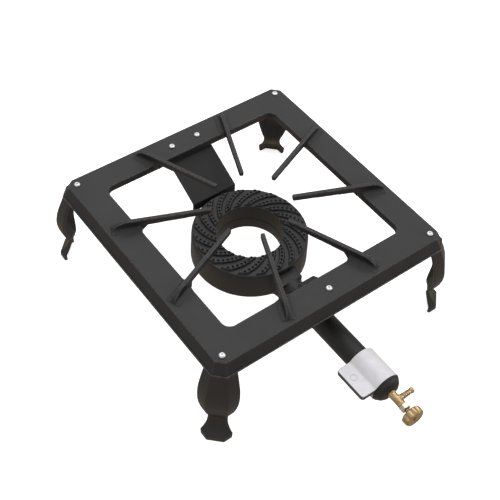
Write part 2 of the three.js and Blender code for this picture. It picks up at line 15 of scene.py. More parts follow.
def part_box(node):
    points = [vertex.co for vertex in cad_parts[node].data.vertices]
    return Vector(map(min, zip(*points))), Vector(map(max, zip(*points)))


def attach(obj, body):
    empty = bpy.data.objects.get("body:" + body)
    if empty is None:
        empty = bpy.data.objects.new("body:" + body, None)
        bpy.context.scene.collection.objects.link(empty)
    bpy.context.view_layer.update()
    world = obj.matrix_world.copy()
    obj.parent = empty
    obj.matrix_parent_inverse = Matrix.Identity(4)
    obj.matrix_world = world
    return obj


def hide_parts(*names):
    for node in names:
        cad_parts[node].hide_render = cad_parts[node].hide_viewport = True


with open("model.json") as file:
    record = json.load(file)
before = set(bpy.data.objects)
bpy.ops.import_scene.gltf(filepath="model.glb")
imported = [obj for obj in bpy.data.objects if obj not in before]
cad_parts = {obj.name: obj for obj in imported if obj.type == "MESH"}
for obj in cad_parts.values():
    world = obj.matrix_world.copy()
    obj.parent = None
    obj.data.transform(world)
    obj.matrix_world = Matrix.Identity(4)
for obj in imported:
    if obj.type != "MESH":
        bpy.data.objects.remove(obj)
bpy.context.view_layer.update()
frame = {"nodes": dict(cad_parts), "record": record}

MM = 0.001

# ---------------------------------------------------------------- places taken from the frame
PAN_RISE = 15.0  # crests of the pan supports above the plate
frame_low, frame_high = (Vector(corner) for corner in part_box("frame"))
CENTRE = Vector((
    (frame_low.x + frame_high.x) / 2,
    (frame_low.y + frame_high.y) / 2,
    frame_high.z - PAN_RISE * MM,
))
cap_low, cap_high = (Vector(corner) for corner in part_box("tube_cap"))
AXIS_Z = ((cap_low.z + cap_high.z) / 2 - CENTRE.z) / MM
RING_TOP = -47.5  # floor of the grooves between the ring's ribs
TAB_START_X = -25.0  # the shutter's tab lies beyond this


def put(x, y, z):
    """A point of the assembly, in millimetres, as a point of the row frame, in metres."""
    return Vector((x, y, z)) * MM + CENTRE


def span(node, axis):
    """Lowest and highest millimetre of a CAD node along an axis (0, 1, 2), in the assembly's axes."""
    low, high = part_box(node)
    return (low[axis] - CENTRE[axis]) / MM, (high[axis] - CENTRE[axis]) / MM


# ---------------------------------------------------------------- materials
class Nodes:
    """A short way to wire a Principled material."""

    def __init__(self, name):
        self.material = bpy.data.materials.new(name)
        self.material.use_nodes = True
        self.tree = self.material.node_tree
        self.shader = self.tree.nodes["Principled BSDF"]
        coordinates = self.add("ShaderNodeTexCoord")
        self.place = coordinates.outputs["Object"]
        facing = self.add("ShaderNodeSeparateXYZ")
        self.link(coordinates.outputs["Normal"], facing.inputs[0])
        self.facing = facing.outputs

    def add(self, kind, **settings):
        node = self.tree.nodes.new(kind)
        for key, value in settings.items():
            setattr(node, key, value)
        return node

    def link(self, source, target):
        self.tree.links.new(source, target)

    def noise(self, scale, detail=4.0, roughness=0.55, stretch=None):
        """Noise of about 1/scale metres, from 0 to 1; stretch squeezes it along the axes."""
        node = self.add("ShaderNodeTexNoise")
        node.inputs["Scale"].default_value = scale
        node.inputs["Detail"].default_value = detail
        node.inputs["Roughness"].default_value = roughness
        if stretch:
            mapping = self.add("ShaderNodeMapping")
            mapping.inputs["Scale"].default_value = stretch
            self.link(self.place, mapping.inputs["Vector"])
            self.link(mapping.outputs["Vector"], node.inputs["Vector"])
        else:
            self.link(self.place, node.inputs["Vector"])
        return node.outputs["Fac"]

    def spread(self, value, low, high, to_low=0.0, to_high=1.0):
        node = self.add("ShaderNodeMapRange")
        for key, number in (("From Min", low), ("From Max", high), ("To Min", to_low), ("To Max", to_high)):
            node.inputs[key].default_value = number
        self.link(value, node.inputs["Value"])
        return node.outputs["Result"]

    def sum(self, first, second, operation="ADD"):
        node = self.add("ShaderNodeMath", operation=operation)
        self.link(first, node.inputs[0])
        if isinstance(second, (int, float)):
            node.inputs[1].default_value = second
        else:
            self.link(second, node.inputs[1])
        return node.outputs[0]

    def blend(self, amount, first, second):
        """Colour between first and second; each is a colour or a socket."""
        node = self.add("ShaderNodeMix", data_type="RGBA")
        self.link(amount, node.inputs["Factor"])
        for value, socket in ((first, node.inputs[6]), (second, node.inputs[7])):
            if isinstance(value, tuple):
                socket.default_value = (*value, 1.0)
            else:
                self.link(value, socket)
        return node.outputs[2]

    def bump(self, height, distance, strength=1.0, under=None):
        node = self.add("ShaderNodeBump")
        node.inputs["Strength"].default_value = strength
        node.inputs["Distance"].default_value = distance
        self.link(height, node.inputs["Height"])
        if under is not None:
            self.link(under, node.inputs["Normal"])
        return node.outputs["Normal"]

    def finish(self, colour, roughness, normal=None, metallic=0.0, specular=0.5):
        self.link(colour, self.shader.inputs["Base Color"])
        self.link(roughness, self.shader.inputs["Roughness"])
        if normal is not None:
            self.link(normal, self.shader.inputs["Normal"])
        self.shader.inputs["Metallic"].default_value = metallic
        self.shader.inputs["Specular IOR Level"].default_value = specular
        return self.material


# Colour of dust, and of painted top light, on faces that look up.
TOP_LIGHT_AND_DUST = (0.075, 0.071, 0.072)


def cast_iron(name, dark, light, worn_and_highlit_edge, roughness, grain, specular=0.5, top_light_and_dust=0.0, groove_shade=None):
    """Black enamel over sand-cast iron: blotches, a fine grain, a slow waviness, and edges lightened by
    rubbed wear and a painted highlight.

    The dust share greys what faces up, both as dust and as painted top light; the groove heights are the pair
    between which the painted shade in the grooves fades out."""
    n = Nodes(name)
    blotch = n.noise(22.0, 3.0)
    fine = n.noise(900.0, 3.0, 0.6)
    pits = n.noise(380.0, 4.0, 0.7)
    wave = n.noise(60.0, 2.0)
    body = n.blend(n.spread(blotch, 0.35, 0.7), dark, light)
    # Sharp edges lightened towards the edge colour: rubbed wear, and a painted highlight along them.
    pointed = n.add("ShaderNodeNewGeometry").outputs["Pointiness"]
    edge = n.spread(pointed, 0.506, 0.545)
    rubbed_and_highlit = n.sum(edge, n.spread(pits, 0.4, 0.62), "MULTIPLY")
    # Faces that look up are lightened: part dust, part painted top light.
    lit_and_dusty_top = n.sum(n.spread(n.facing["Z"], 0.55, 0.98), n.spread(pits, 0.3, 0.7, 0.75, 1.0), "MULTIPLY")
    body = n.blend(n.sum(lit_and_dusty_top, top_light_and_dust, "MULTIPLY"), body, TOP_LIGHT_AND_DUST)
    # Painted shade: the floors of the grooves between the ring's ribs darkened nearly to black.
    if groove_shade:
        height = n.add("ShaderNodeSeparateXYZ")
        n.link(n.place, height.inputs[0])
        deep = n.spread(height.outputs["Z"], groove_shade[1], groove_shade[0])
        body = n.blend(n.sum(deep, 0.6, "MULTIPLY"), body, (0.003, 0.003, 0.003))
    # Edge wear and painted edge highlight laid over the body colour.
    colour = n.blend(n.sum(rubbed_and_highlit, 0.55, "MULTIPLY"), body, worn_and_highlit_edge)
    rough = n.sum(
        n.spread(blotch, 0.3, 0.7, roughness - 0.05, roughness + 0.06),
        n.spread(fine, 0.3, 0.7, -0.04, 0.05),
    )
    normal = n.bump(fine, 0.00035 * grain, 0.55)
    normal = n.bump(pits, 0.0006 * grain, 0.4, normal)
    normal = n.bump(wave, 0.0012, 0.18, normal)
    return n.finish(colour, rough, normal, specular=specular)


MARK_SCALE = 420.0


def plain_metal(name, colour, tint, roughness, stretch=None, scratches=1.0, flank=None, metallic=1.0):
    """Bare metal: two close tints, machining or rolling marks along one direction, and fine scratches.

    flank is the colour of painted shade, laid on faces turned away from the lamps: faces turned to -X on the
    tab or facing down, and all that faces the front."""
    n = Nodes(name)
    mottle = n.noise(120.0, 3.0)
    marks = n.noise(MARK_SCALE, 4.0, 0.65, stretch)
    body = n.blend(n.spread(mottle, 0.3, 0.7), colour, tint)
    # Painted shade: faces turned to -X on the tab or facing down, and faces turned to the front, darkened to
    # the flank colour.
    if flank:
        place = n.add("ShaderNodeSeparateXYZ")
        n.link(n.place, place.inputs[0])
        beyond = n.spread(place.outputs["X"], (TAB_START_X + 1) * MM, (TAB_START_X - 1) * MM)
        under = n.spread(n.facing["Z"], 0.05, -0.25)
        side = n.sum(n.spread(n.facing["X"], -0.4, -0.8), n.sum(beyond, under, "MAXIMUM"), "MULTIPLY")
        front = n.spread(n.facing["Y"], -0.5, -0.85)
        body = n.blend(n.sum(side, front, "MAXIMUM"), body, flank)
    rough = n.sum(
        n.spread(mottle, 0.3, 0.7, roughness - 0.05, roughness + 0.07),
        n.spread(marks, 0.3, 0.7, -0.05, 0.06),
    )
    normal = n.bump(marks, 0.00008 * scratches, 0.5)
    return n.finish(body, rough, normal, metallic=metallic)


def white_plastic(name):
    n = Nodes(name)
    fine = n.noise(700.0)
    colour = n.blend(n.spread(fine, 0.3, 0.7), (0.72, 0.72, 0.68), (0.8, 0.8, 0.77))
    return n.finish(colour, n.spread(fine, 0.3, 0.7, 0.5, 0.62), n.bump(fine, 0.0001, 0.3))


AROUND_Y = (1.0, 14.0, 1.0)  # turning marks on pieces that were turned about the valve axis
ALONG_Y = (6.0, 0.5, 6.0)  # drawing marks along the mixing tube

# In the cast_iron rows, the third colour lightens edges as wear and painted highlight; the dust share adds
# painted top light as well as dust.
MATERIALS = {
    "frame_iron": cast_iron(
        "frame_iron", (0.0125, 0.0118, 0.012), (0.019, 0.018, 0.0185), (0.16, 0.152, 0.148),
        0.48, 1.0, 0.42, top_light_and_dust=0.1,
    ),
    "leg_iron": cast_iron(
        "leg_iron", (0.014, 0.0125, 0.011), (0.021, 0.0185, 0.016), (0.05, 0.045, 0.04),
        0.44, 0.9, 0.45,
    ),
    # The burner's dust share adds painted top light; its pair of groove heights fades painted shade into the
    # grooves between the ribs.
    "burner_iron": cast_iron(
        "burner_iron", (0.0115, 0.011, 0.0098), (0.019, 0.018, 0.016), (0.05, 0.048, 0.047),
        0.48, 1.2, 0.5, top_light_and_dust=0.3, groove_shade=(put(0, 0, RING_TOP + 0.4).z, put(0, 0, RING_TOP + 2.6).z),
    ),
    "black_steel": cast_iron(
        "black_steel", (0.0105, 0.0102, 0.0105), (0.015, 0.0148, 0.015), (0.08, 0.078, 0.077),
        0.5, 0.5, 0.4,
    ),
    "zinc_steel": plain_metal("zinc_steel", (0.78, 0.78, 0.77), (0.66, 0.67, 0.69), 0.3),
    # The aluminium's flank colour is painted shade on the shutter's faces turned away from the lamps.
    "aluminium": plain_metal(
        "aluminium", (0.82, 0.812, 0.83), (0.77, 0.762, 0.78), 0.6, ALONG_Y, 1.0,
        flank=(0.085, 0.088, 0.092), metallic=0.25,
    ),
    "brass": plain_metal("brass", (0.56, 0.41, 0.225), (0.46, 0.32, 0.16), 0.3, AROUND_Y, 1.5),
    "pale_brass": plain_metal("pale_brass", (0.74, 0.66, 0.5), (0.64, 0.56, 0.4), 0.26, AROUND_Y, 1.2),
    "stainless_steel": plain_metal(
        "stainless_steel", (0.5, 0.49, 0.47), (0.42, 0.41, 0.4), 0.28, AROUND_Y,
    ),
    "ptfe": white_plastic("ptfe"),
}
SLOTS = {row["node"]: row["material_slot"] for row in frame["record"]["subparts"]}
BODY_OF = {
    node: body
    for body, nodes in frame["record"]["behaviour"]["bodies"].items()
    for node in nodes
}


# ---------------------------------------------------------------- mesh helpers
SHARP = math.radians(38)


def make_object(name, mesh, slot):
    piece = bpy.data.objects.new(name, mesh)
    bpy.context.scene.collection.objects.link(piece)
    mesh.materials.clear()
    mesh.materials.append(MATERIALS[slot])
    return piece


def stand_for(piece, *nodes):
    """The piece joins the body of these CAD nodes and takes their place; the nodes are hidden."""
    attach(piece, BODY_OF[nodes[0]])
    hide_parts(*nodes)


def smooth(mesh, limit=SHARP):
    """Smooth shading that stops at edges sharper than the limit."""
    bm = bmesh.new()
    bm.from_mesh(mesh)
    bmesh.ops.recalc_face_normals(bm, faces=bm.faces)
    for face in bm.faces:
        face.smooth = True
    for edge in bm.edges:
        edge.smooth = len(edge.link_faces) == 2 and edge.calc_face_angle(0.0) < limit
    bm.to_mesh(mesh)
    bm.free()


def mesh_from(name, points, faces, limit=SHARP):
    mesh = bpy.data.meshes.new(name)
    mesh.from_pydata([tuple(put(*p)) for p in points], [], faces)
    smooth(mesh, limit)
    return mesh


def rounded(outline, radius, steps=3, closed=False):
    """The outline with each corner turned into an arc of at most that radius."""
    result = []
    count = len(outline)
    for i, corner in enumerate(outline):
        if not closed and i in (0, count - 1):
            result.append(tuple(corner))
            continue
        here = Vector(corner)
        before = Vector(outline[i - 1]) - here
        after = Vector(outline[(i + 1) % count]) - here
        turn = math.pi - before.angle(after)
        if turn < math.radians(12):
            result.append(tuple(corner))
            continue
        reach = min(radius * math.tan(turn / 2), 0.45 * before.length, 0.45 * after.length)
        start = here + before.normalized() * reach
        end = here + after.normalized() * reach
        for k in range(steps + 1):
            t = k / steps
            result.append(tuple((1 - t) ** 2 * start + 2 * t * (1 - t) * here + t * t * end))
    return result


def revolve(outline, segments, closed=False, shape=None):
    """Points and faces of a body turned from (radius, height) pairs: (across, across, height).

    shape(radius, height, angle) gives the radius at an angle where the piece isn't round."""
    points = []
    rings = []
    for radius, height in outline:
        if radius < 1e-6:
            rings.append([len(points)] * segments)
            points.append((0.0, 0.0, height))
            continue
        ring = []
        for k in range(segments):
            angle = 2 * math.pi * k / segments
            r = shape(radius, height, angle) if shape else radius
            ring.append(len(points))
            points.append((r * math.cos(angle), r * math.sin(angle), height))
        rings.append(ring)
    faces = []
    pairs = list(zip(rings, rings[1:]))
    if closed:
        pairs.append((rings[-1], rings[0]))
    for a, b in pairs:
        for k in range(segments):
            m = (k + 1) % segments
            corners = [a[k], a[m], b[m], b[k]]
            unique = list(dict.fromkeys(corners))
            if len(unique) > 2:
                faces.append(unique)
    return points, faces


def along_valve(points):
    """Height along -Y, the way the valve points: assembly coordinates."""
    return [(x, h, AXIS_Z + y) for x, y, h in points]


def turned(name, slot, outline, radius, segments, closed=False, shape=None, limit=SHARP):
    """A piece turned about the valve's axis, with its corners rounded."""
    points, faces = revolve(rounded(outline, radius, closed=closed), segments, closed, shape)
    return make_object(name, mesh_from(name, along_valve(points), faces, limit), slot)


def baked(piece):
    """Applies a piece's modifiers to its mesh."""
    depsgraph = bpy.context.evaluated_depsgraph_get()
    mesh = bpy.data.meshes.new_from_object(piece.evaluated_get(depsgraph))
    piece.modifiers.clear()
    piece.data = mesh
    return piece


def cast_skin(name, node, voxel, passes, more=()):
    """A casting's soft-edged skin: the CAD node's mesh and more shells, remeshed as one and relaxed."""
    mesh = frame["nodes"][node].data.copy()
    bm = bmesh.new()
    bm.from_mesh(mesh)
    for points, faces in more:
        verts = [bm.verts.new(put(*p)) for p in points]
        for face in faces:
            bm.faces.new([verts[i] for i in face])
    bm.to_mesh(mesh)
    bm.free()
    piece = make_object(name, mesh, SLOTS[node])
    skin = piece.modifiers.new("skin", "REMESH")
    skin.mode = "VOXEL"
    skin.voxel_size = voxel * MM
    skin.use_smooth_shade = True
    relax = piece.modifiers.new("relax", "SMOOTH")
    relax.factor = 0.5
    relax.iterations = passes
    return baked(piece)


# ---------------------------------------------------------------- frame casting
SKIRT_HALF = span("frame", 0)[1]
SKIRT_LOW = span("frame", 2)[0]
SKIRT_CHAMFER = 14.5
BEAD_R = 1.15
BEAD_INSET = 0.35  # how far the bead's middle stands inside the skirt's rim
BEAD_SIDES = 12

OPENING_HALF = 149.4
SUPPORT_COUNT = 8
SUPPORT_HALF = 3.0
SUPPORT_ROOT_R = 199.5
SINK = 0.3  # how far a fillet's back runs into the support
FILLET = 7.5
FILLET_PROFILE = [
    # distance from the support's flank, height above the plate
    (-1.5, -1), (0, FILLET), (0.5, 0.62 * FILLET), (0.2 * FILLET, 0.4 * FILLET),
    (0.45 * FILLET, 1.9), (0.82 * FILLET, 1.35), (FILLET, 0.02), (FILLET, -1),
]
FILLET_CAPS = [
    # distance from the support's root, the most that the fillet may rise there
    (24, FILLET), (12, 0.85 * FILLET), (5, 0.55 * FILLET), (1, 0.22 * FILLET),
]
WEB_R = 7.5
WEB_REACH = 13.0  # how far a web may run along a support without leaving its underside
WEB_LEVELS = [
    # height, share of the web's run along the opening, share of WEB_REACH along the support
    (-9.5, 0.5, 0.16), (-6.0, 0.85, 0.32), (-4.5, 1.0, 0.42), (0.0, 1.0, 0.72),
    (1.0, 0.6, 0.78), (2.4, 0.3, 0.88), (4.6, 0.12, 0.95),
]


def skirt_bead():
    """A thin bead round the skirt's lower rim."""
    half = SKIRT_HALF - BEAD_INSET
    c = half - SKIRT_CHAMFER
    path = [(half, -c), (half, c), (c, half), (-c, half), (-half, c), (-half, -c), (-c, -half), (c, -half)]
    points = []
    count = len(path)
    for i, (x, y) in enumerate(path):
        here = Vector((x, y))
        back = (here - Vector(path[i - 1])).normalized()
        on = (Vector(path[(i + 1) % count]) - here).normalized()
        along = (back + on).normalized()
        out = Vector((along.y, -along.x)) / math.cos(back.angle(on) / 2)
        for k in range(BEAD_SIDES):
            a = 2 * math.pi * k / BEAD_SIDES
            shift = out * BEAD_R * math.cos(a)
            points.append((x + shift.x, y + shift.y, SKIRT_LOW + BEAD_R * (1 + math.sin(a))))
    faces = []
    for i in range(count):
        a, b = i * BEAD_SIDES, ((i + 1) % count) * BEAD_SIDES
        for k in range(BEAD_SIDES):
            m = (k + 1) % BEAD_SIDES
            faces.append([a + k, a + m, b + m, b + k])
    return points, faces


def stacked(sections):
    """Closed shell through sections that have the same number of points."""
    count = len(sections[0])
    points = [p for section in sections for p in section]
    faces = [list(range(count))[::-1], [len(points) - count + k for k in range(count)]]
    for i in range(len(sections) - 1):
        for k in range(count):
            m = (k + 1) % count
            faces.append([i * count + k, i * count + m, (i + 1) * count + m, (i + 1) * count + k])
    return points, faces


def fillet_shell(out, flank, normal):
    """The fillet along one side of a support's foot, from the opening's edge to the root."""
    sections = []
    stations = [(None, FILLET)] + [(SUPPORT_ROOT_R - back, cap) for back, cap in FILLET_CAPS]
    for r, cap in stations:
        section = []
        for v, z in FILLET_PROFILE:
            aside = flank * (SUPPORT_HALF - SINK + v)
            if r is None:
                place = aside + out * ((OPENING_HALF + 0.2 - normal.dot(aside)) / normal.dot(out))
            else:
                place = aside + out * r
            section.append((place.x, place.y, min(z, cap)))
        sections.append(section)
    return stacked(sections)


def web_shell(out, flank, normal, along):
    """The round web in the corner between a support's flank and the opening's edge."""
    foot = flank * SUPPORT_HALF
    corner = foot + out * ((OPENING_HALF - normal.dot(foot)) / normal.dot(out))
    half = along.angle(-out) / 2
    tangent = WEB_R / math.tan(half)
    levels = []
    for z, aside, inward in WEB_LEVELS:
        a = corner - out * min(tangent * 1.15, WEB_REACH * inward)
        b = corner + along * tangent * aside
        level = []
        for j in range(9):
            t = j / 8
            shares = ((1 - t) ** 2, 2 * t * (1 - t) * math.sin(half), t * t)
            level.append((a * shares[0] + corner * shares[1] + b * shares[2]) / sum(shares))
        level += [b + normal * 2, corner + normal * 2 - flank * 1.5, a - flank * 1.5]
        levels.append([(q.x, q.y, z) for q in level])
    return stacked(levels)


def support_fillets():
    """Fillets and webs on both sides of every pan support."""
    shells = []
    for k in range(SUPPORT_COUNT):
        angle = (k + 0.5) * 2 * math.pi / SUPPORT_COUNT
        out = Vector((math.cos(angle), math.sin(angle)))
        side = Vector((-out.y, out.x))
        nearest = round(angle / (math.pi / 2)) * math.pi / 2
        normal = Vector((math.cos(nearest), math.sin(nearest)))
        edge = Vector((-normal.y, normal.x))
        for flank in (side, -side):
            along = edge if edge.dot(flank) > 0 else -edge
            shells.append(fillet_shell(out, flank, normal))
            shells.append(web_shell(out, flank, normal, along))
    return shells


body_frame = cast_skin("stand_frame", "frame", 1.0, 3, support_fillets())
stand_for(body_frame, "frame")

bead_points, bead_faces = skirt_bead()
bead = make_object("skirt_bead", mesh_from("skirt_bead", bead_points, bead_faces), "frame_iron")
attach(bead, BODY_OF["frame"])

# ---------------------------------------------------------------- legs and bracket
LEG_WALL = 4.5
LEG_SOFT = 1.3
FOOT_EDGE = -140.0
LEG_TOP = SKIRT_LOW + 0.05
LEG_REACH = 199.4
LEG_HEAD_LOW = -25.0
LEG_HEAD_NEAR = 167.9  # inner sides of the web under the skirt's corner
BLOCK_NEAR, BLOCK_FAR, BLOCK_BEND = 166.0, 184.0, 175.5  # the block that takes the leg's screw
BLOCK_TOP = -5.3
FLOOR_Z = span("leg_front_left", 2)[0]
LEG_STATIONS = np.array([
    # height, corner reach, corner cut, length of each flank
    (LEG_TOP, LEG_REACH, SKIRT_CHAMFER, 17),
    (-35, 206, 18, 18.5), (-52, 211, 20.5, 19.5), (-72, 213.2, 21, 18.5),
    (-90, 210.6, 19.5, 14), (-104, 205, 17.5, 8.5), (-113, 201.4, 15.5, 5), (-124, 203.6, 15.5, 5.5),
    (-134, 208.7, 17, 9.4), (FOOT_EDGE, 213.2, 18.5, 13.2),
])
CORNER_TURNS = {"rear_right": 0, "rear_left": 1, "front_left": 2, "front_right": 3}


def leg_section(reach, cut, flank):
    inner = reach - LEG_WALL
    bend = reach - cut
    inner_bend = bend - LEG_WALL * math.tan(math.pi / 8)
    end = bend - flank
    corners = [
        (reach, end), (reach, bend), (bend, reach), (end, reach),
        (end, inner), (inner_bend, inner), (inner, inner_bend), (inner, end),
    ]
    return rounded(corners, LEG_SOFT, 4, closed=True)


def leg_profile():
    """Reach, cut and flank at every height: a smooth curve down to the foot's edge, then straight."""
    rows = []
    table = LEG_STATIONS
    for i in range(len(table) - 1):
        before = table[max(i - 1, 0)]
        a, b = table[i], table[i + 1]
        after = table[min(i + 2, len(table) - 1)]
        lean_a = (b - before) / (before[0] - b[0]) * (a[0] - b[0])
        lean_b = (after - a) / (a[0] - after[0]) * (a[0] - b[0])
        for t in np.arange(0, 1, 1 / 7):
            rows.append(
                (2 * t ** 3 - 3 * t ** 2 + 1) * a + (t ** 3 - 2 * t ** 2 + t) * lean_a
                + (3 * t ** 2 - 2 * t ** 3) * b + (t ** 3 - t ** 2) * lean_b
            )
    foot = table[-1]
    rows.append(foot + np.array((0.5, -0.35, 0, -0.3)))
    rows.append(foot + np.array((-0.5, 0, 0, 0)))
    rows.append(np.array((FLOOR_Z + 1.0, 213.2, 17.1, 13.9)))
    rows.append(np.array((FLOOR_Z + 0.25, 212.9, 17.1, 13.6)))
    rows.append(np.array((FLOOR_Z, 212.3, 17.1, 13.0)))
    return rows


def make_leg(turns):
    sections = []
    for height, reach, cut, flank in leg_profile():
        sections.append([(x, y, height) for x, y in leg_section(reach, cut, flank)])
    shells = [stacked(sections)]
    near, far, bend = LEG_HEAD_NEAR, LEG_REACH - 2, LEG_REACH - SKIRT_CHAMFER
    web = [(near, near), (far, near), (far, bend), (bend, far), (near, far)]
    near, far, bend = BLOCK_NEAR, BLOCK_FAR, BLOCK_BEND
    block = [(near, near), (far, near), (far, bend), (bend, far), (near, far)]
    for plan, top in ((web, LEG_TOP), (block, BLOCK_TOP)):
        soft = rounded(plan, 1.0, 3, closed=True)
        shells.append(stacked([[(x, y, z) for x, y in soft] for z in (LEG_HEAD_LOW, top)]))
    points, faces = [], []
    for shell_points, shell_faces in shells:
        faces += [[i + len(points) for i in face] for face in shell_faces]
        points += shell_points
    for _ in range(turns):
        points = [(-y, x, z) for x, y, z in points]
    return points, faces


for corner, turns in CORNER_TURNS.items():
    node = "leg_" + corner
    points, faces = make_leg(turns)
    leg = make_object("cast_" + node, mesh_from(node, points, faces, math.radians(50)), SLOTS[node])
    stand_for(leg, node)

bracket = cast_skin("bent_bracket", "rear_bracket", 0.7, 2)
stand_for(bracket, "rear_bracket")

# ---------------------------------------------------------------- ring burner
RING_LOW = span("burner_casting", 2)[0]
RIB_COUNT = 20
RIB_RISE = 3.5
RIB_R0, RIB_R1 = 50.2, 81.6
RIB_HALF = 3.5
RIB_SHOULDER = 1.1
RIB_SWEEP = -0.0172
RIB_PHASE = 0.12
PORT_COUNT = 7
PORT_INSET = 2.9  # first and last port, from the rib's ends
PORT_R = 1.3
PORT_DEPTH = 3.2
RIM_R = 2.05
RIM_RISE = 1.0
RING_WALL_R = 86.35
FACE_R0, FACE_R1 = 49.2, 83.3  # the drilled face, inside the ring's rounded edges
FACE_STEP = 0.4
STEPS_ROUND = 54 * RIB_COUNT


def ease(x):
    x = np.clip(x, 0.0, 1.0)
    return x * x * (3 - 2 * x)


def rib_angle(r):
    return RIB_PHASE + RIB_SWEEP * (r - (RIB_R0 + RIB_R1) / 2)


def ring_top(r, angle):
    """Height of the ring's drilled face: spiral ribs with a row of rimmed ports on each."""
    pitch = 2 * np.pi / RIB_COUNT

    def turn_from(target):
        return np.mod(angle - target + pitch / 2, pitch) - pitch / 2

    lean = np.arctan(RIB_SWEEP * r)
    off = np.abs(turn_from(rib_angle(r))) * r * np.cos(lean)
    across = ease((RIB_HALF - off) / RIB_SHOULDER + 0.5)
    along = ease((r - RIB_R0) / 1.4 + 0.5) * ease((RIB_R1 - r) / 1.4 + 0.5)
    height = RIB_RISE * across * along
    for k in range(PORT_COUNT):
        port_r = RIB_R0 + PORT_INSET + (RIB_R1 - RIB_R0 - 2 * PORT_INSET) * k / (PORT_COUNT - 1)
        away = np.hypot(r - port_r, r * turn_from(rib_angle(port_r)))
        height += RIM_RISE * np.exp(-(((away - RIM_R) / 0.45) ** 2)) * across
        height -= PORT_DEPTH * ease((PORT_R - away) / 0.5 + 0.5)
    return RING_TOP + height


def make_ring():
    """One closed skin round the ring's section: drilled face, outer wall, base and inner wall."""
    face_r = np.arange(FACE_R0 + FACE_STEP / 2, FACE_R1 - 0.29, FACE_STEP)
    wall = rounded(
        [
            (FACE_R1, RING_TOP), (84.9, RING_TOP - 1.6), (85.4, RING_TOP - 6), (RING_WALL_R, RING_LOW),
            (48.2, RING_LOW), (48.2, -74), (48.8, -72.6), (48.9, RING_TOP - 0.4), (FACE_R0, RING_TOP),
        ],
        1.8, 4,
    )
    angle = np.arange(STEPS_ROUND) * 2 * np.pi / STEPS_ROUND
    sections = []
    for r in face_r:
        edge = ease((r - FACE_R0) / 0.8) * ease((FACE_R1 - r) / 0.8)
        z = RING_TOP + (ring_top(np.full_like(angle, r), angle) - RING_TOP) * edge
        sections.append(np.stack([r * np.cos(angle), r * np.sin(angle), z], 1))
    for r, z in wall:
        sections.append(np.stack([r * np.cos(angle), r * np.sin(angle), np.full_like(angle, z)], 1))
    points = np.concatenate(sections)
    count = len(sections)
    ring = np.arange(STEPS_ROUND)
    after = np.roll(ring, -1)
    faces = []
    for i in range(count):
        a = i * STEPS_ROUND
        b = ((i + 1) % count) * STEPS_ROUND
        faces += np.stack([a + ring, b + ring, b + after, a + after], 1).tolist()
    return points, faces


def keep_tube(bm):
    """Leaves of the casting's skin only what stands out of the ring: tube, neck, lug and rear boss."""
    spare = []
    for vert in bm.verts:
        x, y, _ = (vert.co - CENTRE) / MM
        r = math.hypot(x, y)
        beside = abs(x) > (27 if y < 0 else 17)
        if r < 84 or (r < 87.6 and beside):
            spare.append(vert)
    bmesh.ops.delete(bm, geom=spare, context="VERTS")


burner = cast_skin("burner", "burner_casting", 0.95, 5)
shell = bmesh.new()
shell.from_mesh(burner.data)
keep_tube(shell)
ring_points, ring_faces = make_ring()
ring_mesh = bpy.data.meshes.new("ring")
ring_mesh.from_pydata((ring_points * MM + np.array(CENTRE)).tolist(), [], ring_faces)
for polygon in ring_mesh.polygons:
    polygon.use_smooth = True
shell.from_mesh(ring_mesh)
for face in shell.faces:
    face.smooth = True
    face.material_index = 0
shell.to_mesh(burner.data)
shell.free()
stand_for(burner, "burner_casting")

# ---------------------------------------------------------------- screws
HEAD_R = 4.6
HEAD_RISE = 2.8
RECESS_R = 1.55
RECESS_LOW = 1.2
THREAD_CREST, THREAD_ROOT = 2.4, 2.05
THREAD_STEP = 0.8
SCREW_NODES = [name for name in frame["nodes"] if "screw" in name and name != "knob_screw"]


def screw_outline(low):
    """Button head with a rolled edge and a recess, over a shank with a few thread crests."""
    outline = [(0.0, low), (1.9, low), (2.35, low + 0.6)]
    crest = low + 1.2
    while crest < -1.0:
        outline += [(THREAD_CREST, crest), (THREAD_ROOT, crest + THREAD_STEP / 2)]
        crest += THREAD_STEP
    rim = 0.9
    outline += [(2.35, 0.2), (HEAD_R - 0.1, 0.3), (HEAD_R, rim)]
    flat = RECESS_R + 0.3
    for k in range(1, 7):
        a = math.pi / 2 * k / 7
        outline.append((flat + (HEAD_R - flat) * math.cos(a), rim + (HEAD_RISE - rim) * math.sin(a)))
    outline += [
        (RECESS_R + 0.15, HEAD_RISE), (RECESS_R, HEAD_RISE - 0.15),
        (RECESS_R, RECESS_LOW), (0.0, RECESS_LOW - 0.4),
    ]
    return outline


def hexagon(radius, flats, angle):
    """Radius at an angle, of a round outline cut to a hexagon of that size across its flats."""
    turn = angle % (math.pi / 3) - math.pi / 6
    return min(radius, flats / 2 / math.cos(turn))


def recess(radius, height, angle):
    if radius <= RECESS_R + 0.01 and height > 0:
        return hexagon(radius, 2 * RECESS_R * 0.88, angle)
    return radius


for node in SCREW_NODES:
    centre_x, centre_y = sum(span(node, 0)) / 2, sum(span(node, 1)) / 2
    points, faces = revolve(screw_outline(span(node, 2)[0]), 48, shape=recess)
    points = [(x + centre_x, y + centre_y, z) for x, y, z in points]
    piece = make_object("button_" + node, mesh_from(node, points, faces), SLOTS[node])
    stand_for(piece, node)

# ---------------------------------------------------------------- air shutter
SLEEVE_R = (span("air_shutter", 2)[1] - span("air_shutter", 2)[0]) / 2
SHUTTER_FRONT, SHUTTER_REAR = span("air_shutter", 1)
SHUTTER_BORE = 17.7
TAB_X = span("air_shutter", 0)[0]
TAB_TOP = 12.0
TAB_THICK = 8.0
TAB_CORNER = 5.0
TAB_EDGE = 1.1
TAB_FILLET = 3.0
SHUTTER_EDGE = 1.1
ARC_STEPS = 72


